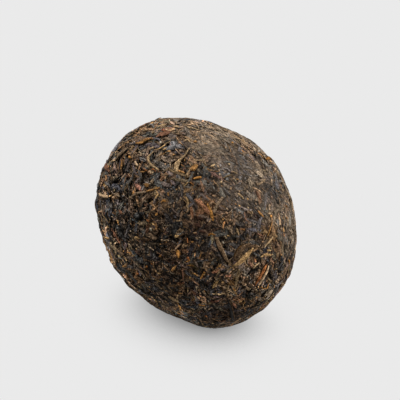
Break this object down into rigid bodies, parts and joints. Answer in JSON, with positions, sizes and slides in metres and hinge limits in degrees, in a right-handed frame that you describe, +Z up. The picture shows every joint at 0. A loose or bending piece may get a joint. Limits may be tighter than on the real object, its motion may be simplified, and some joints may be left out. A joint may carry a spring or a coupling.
{
  "type": "pu-erh tuocha",
  "caption": "Pressed tea in the form of a small thick bowl: a rounded back, a blunt round lip and a cone-shaped hollow, lying on its side wall.",
  "frame": {"origin": "centre of the flat spot on the side wall that the tuocha rests on", "axes": "+Z up; the rounded back faces -Y and the hollow opens towards +Y, so the bowl's own axis lies along Y"},
  "size_m": [0.0827, 0.0475, 0.0811],
  "materials": {
    "pressed_tea": "matt, with a faint waxy sheen on the pressed leaves"
  },
  "bodies": {
    "root": {"tuocha": "pressed_tea"}
  },
  "joints": []
}
